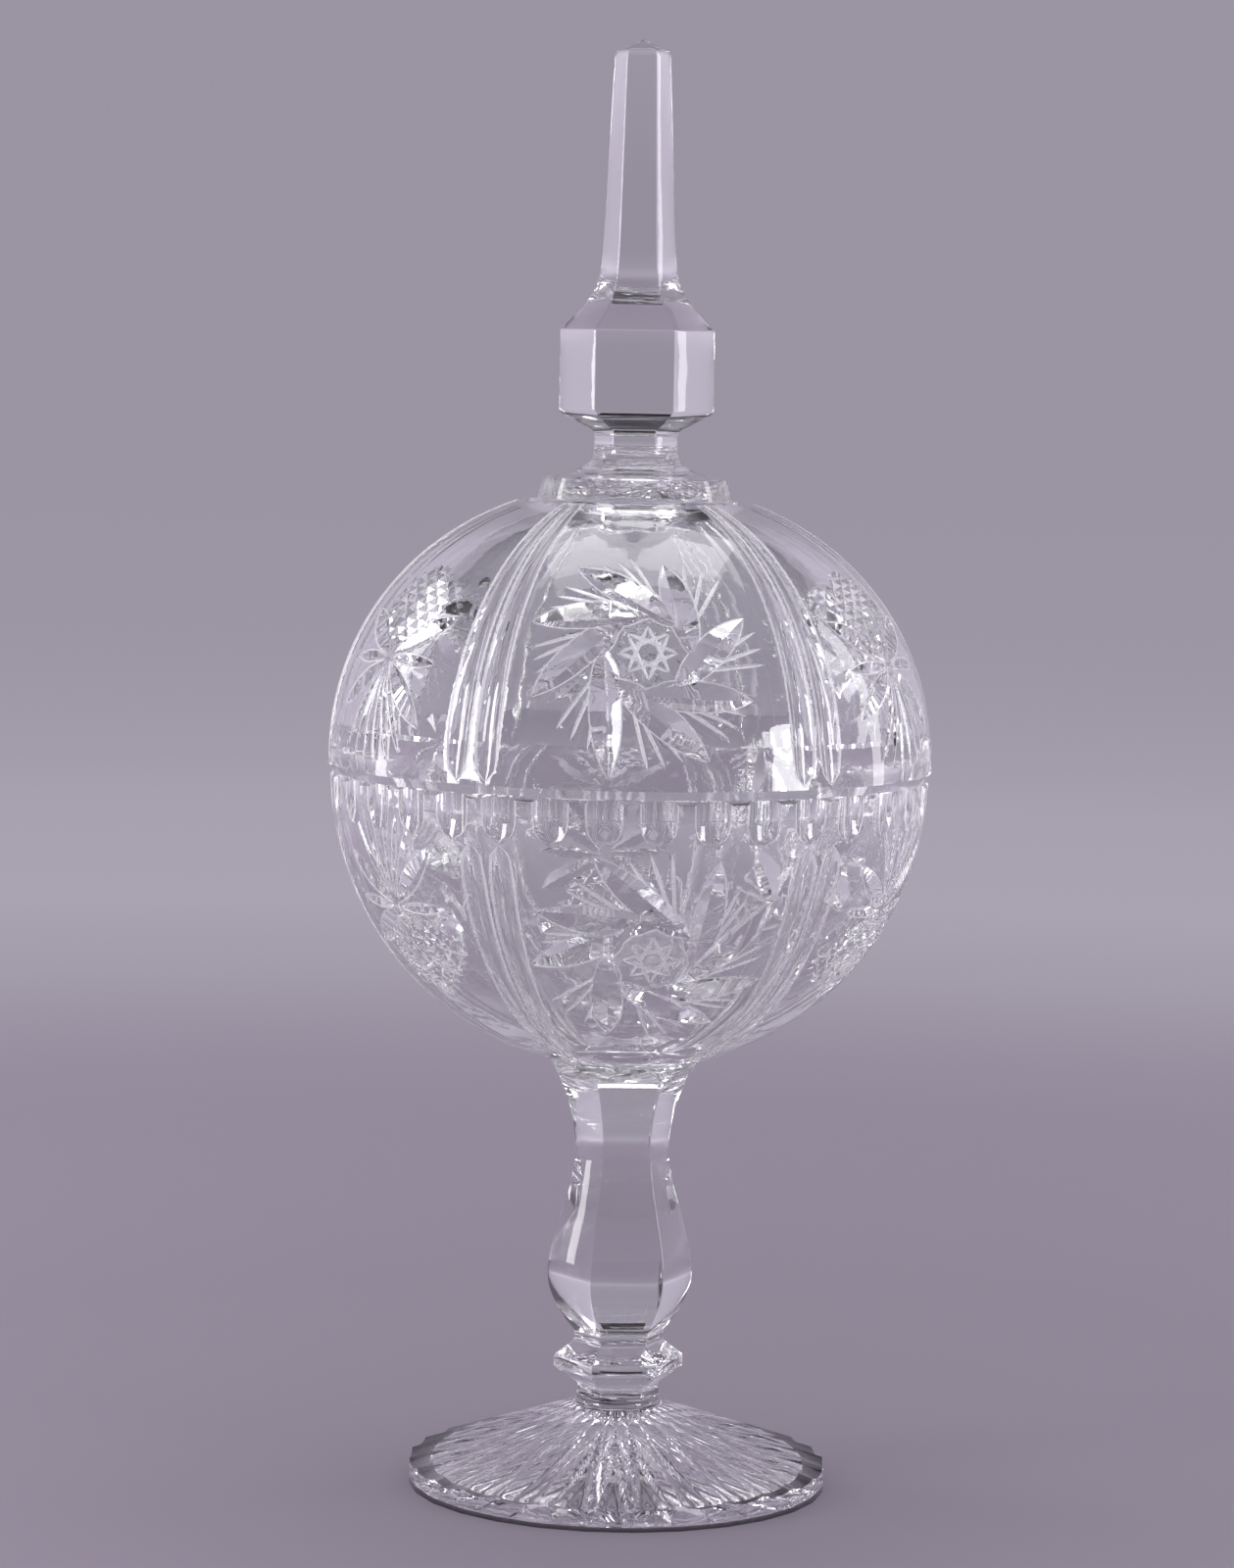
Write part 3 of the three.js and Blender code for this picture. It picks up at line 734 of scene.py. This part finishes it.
def stemShape():
    top = stem["height"]
    neck, neckTop = stem["neck"]
    knop, knopLow, knopHigh = stem["knop"]
    waist, waistLow, waistHigh = stem["waist"]
    bulb, bulbAt = stem["bulb"]
    shank, shankAt = stem["shank"]
    low, high = stem["runout"]
    swellSteps, drawSteps, spreadSteps = stem["curveSteps"]
    rise = bulbAt - waistHigh
    fall = shankAt - bulbAt
    flare = top - shankAt
    handles = (((waist + bulb) / 2, waistHigh + rise / 4), (bulb, bulbAt - rise / 3))
    swell = curvePoints(((waist, waistHigh), (bulb, bulbAt)), handles, swellSteps)
    handles = ((bulb, bulbAt + fall / 3), (shank, shankAt - fall / 3))
    draw = curvePoints(((bulb, bulbAt), (shank, shankAt)), handles, drawSteps)
    handles = ((shank, shankAt + flare / 3), ((shank + stem["top"]) / 2, top - flare / 4))
    paintedSideLight = curvePoints(((shank, shankAt), (stem["top"], top)), handles, spreadSteps)
    ends = [spot for spot in paintedSideLight if spot[1] >= top - high]
    sides = [spot for spot in paintedSideLight[1:] if spot[1] <= ends[0][1]]
    profile = [
        (0.0, 0.0), (aroundCircle(neck), 0.0), (neck, low), (neck, neckTop), (knop, knopLow),
        (knop, knopHigh), (waist, waistLow), *swell, *draw[1:], *sides,
        (aroundCircle(stem["top"]), top), (0.0, top),
    ]
    wide = bulb * stem["blankWidth"]
    blank = [(0.0, 0.0), (neck, 0.0), (neck, low), (wide, low), (wide, ends[0][1]), *ends, (0.0, top)]
    shape = sixSided(profile, blank, stem["turn"], stem["softEdge"])
    bmesh.ops.translate(shape, verts=shape.verts, vec=(0.0, 0.0, stem["base"]))
    return shape


# Bowl

bowl = {
    "reach": 80.7,
    "rise": 80.7,
    "fullness": 2.0,  # 2 is an ellipse, and more is squarer
    "seat": 20.5,
    "base": 117.4,
    "rimDrop": 0.8,
    "chamfer": 0.9,
    "wall": 6.5,
    "floor": 7.5,
    "turn": 5.6,
    "pinwheel": -32.2,  # elevation of its middle, in degrees
    "star": -24.0,
    "flutes": (-9.5, -71.0),  # elevations where they start and end
    "upright": -1.0,  # its star panels are those of the lid, upside down
    "blades": (0, 42, 79, 139, 180, 212, 273, 325),
    "lengths": (36, 40, 37, 38, 37, 36, 36, 36),
    "prints": 36,  # thumbprints
    "printDrop": 11.8,
}
bowl["middle"] = bowl["base"] + math.sqrt(bowl["reach"] ** 2 - bowl["seat"] ** 2)
bowl["rim"] = bowl["middle"] - bowl["rimDrop"]


def printCuts():
    # Upright scoops side by side, whose middles lie on the rim of the bowl
    elevation = elevationAt(bowl, bowl["rim"] - bowl["middle"])
    made = []
    for i in range(bowl["prints"]):
        panel = (bowl["turn"] + 360 * i / bowl["prints"], elevation * 180 / math.pi)
        ends = [(0.0, height) for height in (-bowl["printDrop"], bowl["printDrop"])]
        made.append(grooveCut(bowl, panel, *ends, printWheel))
    return made


def bowlShape():
    rim = bowl["rim"]
    floor = bowl["base"] + bowl["floor"]
    first = elevationAt(bowl, bowl["base"] - bowl["middle"])
    last = elevationAt(bowl, rim - bowl["chamfer"] - bowl["middle"])
    hollow = dict(bowl, reach=bowl["reach"] - bowl["wall"], rise=rim - floor, middle=rim)
    outer = outlineArc(bowl, first, last, ballSteps["outside"])
    inner = outlineArc(hollow, 0.0, -math.pi / 2, ballSteps["inside"])[:-1]
    profile = [(0.0, bowl["base"]), *outer, (outer[-1][0] - bowl["chamfer"], rim), *inner, (0.0, floor)]
    return carved(turnedShape(profile, ballSteps["around"], bowl["turn"]), patternCuts(bowl) + printCuts())


# Lid

lid = {
    "reach": 81.5,
    "rise": 76.3,
    "fullness": 2.1,
    "gap": 0.3,
    "skirt": (2.3, 1.4),  # height, and how far its foot stands in
    "wall": (6.6, 7.4),  # at the side and at the top
    "hollowEnd": 8.0,  # degrees above the middle
    "land": 29.7,  # radius of the flat under the collar
    "flange": (73.0, 68.8, 6.0),  # outside, inside and drop
    "turn": 3.3,
    "pinwheel": 25.4,  # elevations, as on the bowl
    "star": 22.0,
    "flutes": (0.6, 66.0),
    "upright": 1.0,
    "blades": (0, 49, 104, 143, 180, 219, 271, 320),
    "lengths": (33, 31, 31, 37, 36, 36, 39, 36),
}
lid["base"] = bowl["rim"] + lid["gap"]
lid["middle"] = lid["base"] + lid["skirt"][0]
lid["crown"] = lid["rise"] * (1 - (lid["land"] / lid["reach"]) ** lid["fullness"]) ** (1 / lid["fullness"])
lid["top"] = lid["middle"] + lid["crown"]

collar = {
    "radius": 26.2,
    "sides": 192,
    "top": (24.5, 5.5),
    "cove": (20.0, 6.3),
    "coveHandles": ((14.8, 7.4), (12.0, 9.2)),
    "coveSteps": 20,
    "neck": (11.2, 12.3),
}


def lidShape():
    hollow = dict(lid, reach=lid["reach"] - lid["wall"][0], rise=lid["rise"] - lid["wall"][1])
    outer = outlineArc(lid, 0.0, elevationAt(lid, lid["crown"]), ballSteps["outside"])
    inner = outlineArc(hollow, math.pi / 2, radians(lid["hollowEnd"]), ballSteps["inside"])[1:]
    outside, inside, drop = lid["flange"]
    base = lid["base"]
    profile = [
        (0.0, hollow["middle"] + hollow["rise"]), *inner, (inside, base), (inside, base - drop),
        (outside, base - drop), (outside, base), (lid["reach"] - lid["skirt"][1], base), *outer,
        (collar["radius"], lid["top"]), (0.0, lid["top"]),
    ]
    return carved(turnedShape(profile, ballSteps["around"], lid["turn"]), patternCuts(lid))


def collarShape():
    cove = curvePoints((collar["cove"], collar["neck"]), collar["coveHandles"], collar["coveSteps"])
    profile = [(0.0, 0.0), (collar["radius"], 0.0), collar["top"], *cove, (0.0, collar["neck"][1])]
    shape = turnedShape(profile, collar["sides"])
    bmesh.ops.translate(shape, verts=shape.verts, vec=(0.0, 0.0, lid["top"]))
    return shape


# Finial

finial = {
    "turn": 28.0,
    "base": lid["top"] + collar["neck"][1],
    "neck": (11.2, 4.2),
    "runout": 0.8,  # how high the round end is
    "coveHandle": (2.5, 2.0),  # out from the neck, and down from the shelf
    "coveSteps": 12,
    "shelf": (17.2, 8.9),
    "edge": (19.9, 10.0),
    "body": (20.9, 11.2, 32.8),  # radius, and the heights where it starts and ends
    "shoulder": (15.05, 38.8),
    "bend": (10.3, 45.5),
    "bendSteps": 30,
    "spire": (9.4, 62.0),
    "tip": (7.7, 105.4),
    "bevel": (7.1, 107.1),
    "height": 110.1,
    "blankWidth": 1.2,  # in radii of the body
    "softEdge": 0.4,
}


def finialShape():
    neck, neckTop = finial["neck"]
    shelf = finial["shelf"]
    body, low, high = finial["body"]
    aside, down = finial["coveHandle"]
    handles = ((neck, (neckTop + shelf[1]) / 2), (neck + aside, shelf[1] - down))
    cove = curvePoints(((neck, neckTop), shelf), handles, finial["coveSteps"])
    bend = finial["bend"]
    sweep = curvePoints((finial["shoulder"], finial["spire"]), (bend, bend), finial["bendSteps"])
    top = finial["height"]
    runout = finial["runout"]
    profile = [
        (0.0, 0.0), (aroundCircle(neck), 0.0), (neck, runout), *cove, finial["edge"], (body, low),
        (body, high), *sweep, finial["tip"], finial["bevel"], (0.0, top),
    ]
    wide = body * finial["blankWidth"]
    blank = [(0.0, 0.0), (neck, 0.0), (neck, runout), (wide, runout), (wide, top), (0.0, top)]
    shape = sixSided(profile, blank, finial["turn"], finial["softEdge"])
    bmesh.ops.translate(shape, verts=shape.verts, vec=(0.0, 0.0, finial["base"]))
    return shape


# The height and radius of each joint, where the pieces are fused
footJoint = (stem["base"], stem["neck"][0])
bowlJoint = (stem["base"] + stem["height"], stem["top"])
lidJoint = (lid["top"], collar["radius"])
finialJoint = (finial["base"], finial["neck"][0])

finishPiece(footShape(), "foot.glass", "foot", "base", [footJoint])
finishPiece(stemShape(), "stem.glass", "stem", "base", [footJoint, bowlJoint])
finishPiece(bowlShape(), "bowl.glass", "bowl", "base", [bowlJoint])
finishPiece(lidShape(), "lidDome.glass", "lid_dome", "lid", [lidJoint])
finishPiece(collarShape(), "lidCollar.glass", "lid_collar", "lid", [lidJoint, finialJoint])
finishPiece(finialShape(), "finial.glass", "finial", "lid", [finialJoint])
print("glass made")


# Studio, in metres. Lamps and card look at a place on the axis.

studio = {
    "floor": 2.4,  # radius where the sweep starts to rise
    "wall": 2.9,
    "wallTop": 2.4,
    "cove": (0.5, 0.15),  # its height, and the length of its handles
    "coveSteps": 16,
    "sweepSides": 96,
    "near": (0.55, 1.1),  # where the lit floor gives way to the sweep that glows with painted light
    "tones": (  # way along the sweep from its middle, and colour: near the middle the paper's own, further off the painted light of lit paper, lighter and darker along the sweep
        (0.0, (0.255, 0.227, 0.276)), (0.3, (0.258, 0.230, 0.282)), (0.68, (0.30, 0.268, 0.33)),
        (0.98, (0.355, 0.32, 0.392)), (1.4, (0.40, 0.368, 0.442)), (2.0, (0.388, 0.358, 0.43)),
        (2.53, (0.36, 0.33, 0.40)), (2.8, (0.337, 0.307, 0.376)), (3.05, (0.325, 0.298, 0.363)),
    ),
    "toneReach": 4.0,
    "paintedPool": (0.046, 0.055, 3.3),  # painted pool of light: how far out and how much the paper's colour is lightened under the foot, for the light that the foot gathers there
    "frameSlope": 0.13,  # how the picture widens with depth
    "sides": (0.21, 0.75, 1.6),  # painted light: how the sweep gets lighter outside the picture
    "front": (-0.4, -1.2, 0.12),  # painted shade: where the sweep fades into the dark room, and how dark it gets
    "gap": (0.05, 0.05, 0.055, 1.0),
    "ceiling": (0.34, 0.33, 0.36, 1.0),
    "ceilingStart": (0.68, 0.80),
    "daylight": (0.86, 0.85, 0.87, 1.0),
    "centre": (0.0, 0.0, 0.2),
    "flag": (28, 2.2, 0.55, 0.36),  # elevation, distance, width and height
    "boxes": (  # azimuth, elevation, distance, width, height and brightness
        (-62, 12, 1.35, 0.36, 0.75, 14.0),
        (61, 5, 1.35, 0.36, 0.5, 12.0),
        (-105, 12, 1.3, 0.16, 1.3, 5.5),
        (105, 12, 1.3, 0.16, 1.3, 4.0),
        (180, 75, 1.3, 1.0, 0.7, 2.0),
    ),
}


def buildSweep():
    floor, wall, top = studio["floor"], studio["wall"], studio["wallTop"]
    high, handle = studio["cove"]
    handles = ((wall - handle, 0.0), (wall, handle))
    cove = curvePoints(((floor, 0.0), (wall, high)), handles, studio["coveSteps"])
    shape = turnedShape([(0.0, 0.0), *cove, (wall, top)], studio["sweepSides"])
    for face in shape.faces:
        face.smooth = True
        if face.normal.z < 0:
            face.normal_flip()
    sweep = bpy.data.objects.new("sweep", meshOf(shape, "sweep"))
    scene.collection.objects.link(sweep)
    sweep.data.materials.append(sweepMaterial())


def sweepMaterial():
    # Paper that takes the compote's shadow near it, and further off glows to the eye with painted light: the
    # tone that lit paper shows
    material, make = newMaterial("paperSweep")
    place = make.node("ShaderNodeTexCoord", {}, {}, "Object")
    across, depth, height = (make.node("ShaderNodeSeparateXYZ", {}, {0: place}, axis) for axis in "XYZ")
    level = make.node("ShaderNodeVectorMath", {"operation": "MULTIPLY"}, {0: place, 1: (1.0, 1.0, 0.0)})
    away = make.node("ShaderNodeVectorMath", {"operation": "LENGTH"}, {0: level}, "Value")
    travel = away + height
    stops = [(at / studio["toneReach"], colour) for at, colour in studio["tones"]]
    tone = make.node("ShaderNodeValToRGB", {"stops": stops}, {0: travel * (1 / studio["toneReach"])})

    # Only the camera sees the tone as it is: in the glass, the sides are lighter with painted light and the
    # front is darker with painted shade
    aside = make.node("ShaderNodeMath", {"operation": "ABSOLUTE"}, {0: across})
    paintedSideLight = steppedLevel(make, aside - studio["frameSlope"] * depth, studio["sides"])
    unseen = 1.0 - make.node("ShaderNodeLightPath", {}, {}, "Is Camera Ray")
    onWall = 1.0 + unseen * (steppedLevel(make, depth, studio["front"]) * paintedSideLight - 1.0)
    onFloor = 1.0 + unseen * (paintedSideLight - 1.0)

    # Painted light: under the foot the paper's colour is made lighter, as a pool of gathered light
    inner, outer, paintedGain = studio["paintedPool"]
    paintedPool = make.node("ShaderNodeMapRange", {}, {
        "Value": away, "From Min": inner, "From Max": outer, "To Min": paintedGain, "To Max": 1.0,
    })
    paper = make.node("ShaderNodeBsdfPrincipled", {}, {
        "Base Color": scaledColour(make, tone, paintedPool * onFloor), "Roughness": 0.9, "Specular IOR Level": 0.1,
    })
    # Painted light: far off, the sweep glows with the tone of lit paper instead of being lit
    paintedGlow = make.node("ShaderNodeBsdfPrincipled", {}, {
        "Base Color": (0.0, 0.0, 0.0, 1.0), "Specular IOR Level": 0.0,
        "Emission Color": scaledColour(make, tone, onWall), "Emission Strength": 1.0,
    })
    near, far = studio["near"]
    fade = make.node("ShaderNodeMapRange", {}, {"Value": travel, "From Min": near, "From Max": far})
    mixed = make.node("ShaderNodeMixShader", {}, {0: seenByEye(make) * fade, 1: paper, 2: paintedGlow})
    make.node("ShaderNodeOutputMaterial", {}, {"Surface": mixed})
    return material


def steppedLevel(make, value, step):
    # 1 before the start of a step, and the step's own level after its end
    start, end, level = step
    return make.node("ShaderNodeMapRange", {}, {
        "Value": value, "From Min": start, "From Max": end, "To Min": 1.0, "To Max": level,
    })


def scaledColour(make, colour, factor):
    return make.node("ShaderNodeVectorMath", {"operation": "SCALE"}, {0: colour, "Scale": factor})


def seenByEye(make):
    # 1 on the rays of the camera and on those that glass sends on, 0 on light
    kinds = ("Is Camera Ray", "Is Glossy Ray", "Is Transmission Ray")
    camera, glossy, sentOn = (make.node("ShaderNodeLightPath", {}, {}, kind) for kind in kinds)
    return make.maths("MINIMUM", camera + glossy + sentOn, 1.0)


def buildWorld():
    # For the eye, a dark gap above the sweep and a pale ceiling over it. Light comes evenly from all of it.
    world = bpy.data.worlds.new("studio")
    scene.world = world
    world.use_nodes = True
    world.node_tree.nodes.clear()
    make = Signal(world.node_tree, None)
    aim = make.node("ShaderNodeTexCoord", {}, {}, "Generated")
    height = make.node("ShaderNodeSeparateXYZ", {}, {0: aim}, "Z")
    low, high = studio["ceilingStart"]
    climb = make.node("ShaderNodeMapRange", {}, {"Value": height, "From Min": low, "From Max": high})
    sockets = {0: climb, 6: studio["gap"], 7: studio["ceiling"]}
    tone = make.node("ShaderNodeMix", {"data_type": "RGBA"}, sockets, 2)
    light = make.node("ShaderNodeBackground", {}, {"Color": studio["daylight"]})
    ceiling = make.node("ShaderNodeBackground", {}, {"Color": tone})
    mixed = make.node("ShaderNodeMixShader", {}, {0: seenByEye(make), 1: light, 2: ceiling})
    make.node("ShaderNodeOutputWorld", {}, {"Surface": mixed})


def aimed(thing, azimuth, elevation, distance):
    # Hangs something in a direction from the centre, and turns it to face that way
    aim = aimAt(radians(azimuth), radians(elevation))
    thing.location = Vector(studio["centre"]) + aim * distance
    thing.rotation_euler = aim.to_track_quat("Z", "Y").to_euler()
    scene.collection.objects.link(thing)


def addBox(name, azimuth, elevation, distance, width, height, glow):
    light = bpy.data.lights.new(name, "AREA")
    light.shape = "RECTANGLE"
    light.size = width
    light.size_y = height
    light.energy = glow * math.pi * width * height  # glow is the brightness of its face
    lamp = bpy.data.objects.new(name, light)
    lamp.visible_camera = False
    aimed(lamp, azimuth, elevation, distance)


def hangFlag():
    # A small black card out of sight high behind, that shows as dark streaks in the upper cuts
    elevation, distance, width, height = studio["flag"]
    shape = bmesh.new()
    bmesh.ops.create_grid(shape, x_segments=1, y_segments=1, size=0.5)
    bmesh.ops.scale(shape, vec=(width, height, 1.0), verts=shape.verts)
    flag = bpy.data.objects.new("flag", meshOf(shape, "flag"))
    flag.visible_shadow = False
    aimed(flag, 180, elevation, distance)
    material, make = newMaterial("blackCard")
    card = make.node("ShaderNodeBsdfPrincipled", {}, {
        "Base Color": (0.01, 0.01, 0.01, 1.0), "Roughness": 1.0,
    })
    make.node("ShaderNodeOutputMaterial", {}, {"Surface": card})
    flag.data.materials.append(material)


# Camera

view = {
    "distance": 1263.9,  # from the axis of the compote, in front of it
    "height": 304.5,
    "pitch": 5.09,  # degrees down
    "yaw": 0.15,
    "roll": 1.08,
    "lens": 107.7,
    "sensor": 36.0,
}


def buildCamera():
    camera = bpy.data.objects.new("camera", bpy.data.cameras.new("camera"))
    camera.data.lens = view["lens"]
    camera.data.sensor_width = view["sensor"]
    turn = Matrix.Rotation(radians(view["yaw"]), 4, "Z")
    tilt = Matrix.Rotation(radians(90 - view["pitch"]), 4, "X")
    roll = Matrix.Rotation(radians(view["roll"]), 4, "Z")
    place = Matrix.Translation((0.0, -view["distance"] * millimetre, view["height"] * millimetre))
    camera.matrix_world = place @ turn @ tilt @ roll
    scene.collection.objects.link(camera)
    scene.camera = camera


buildSweep()
hangFlag()
buildWorld()
for number, box in enumerate(studio["boxes"]):
    addBox("softbox%d" % number, *box)
buildCamera()
scene.view_settings.view_transform = "Standard"
scene.cycles.max_bounces = 28
scene.cycles.transmission_bounces = 28
scene.cycles.glossy_bounces = 28
scene.cycles.transparent_max_bounces = 40
scene.cycles.caustics_refractive = False
scene.cycles.caustics_reflective = False
print("studio made")
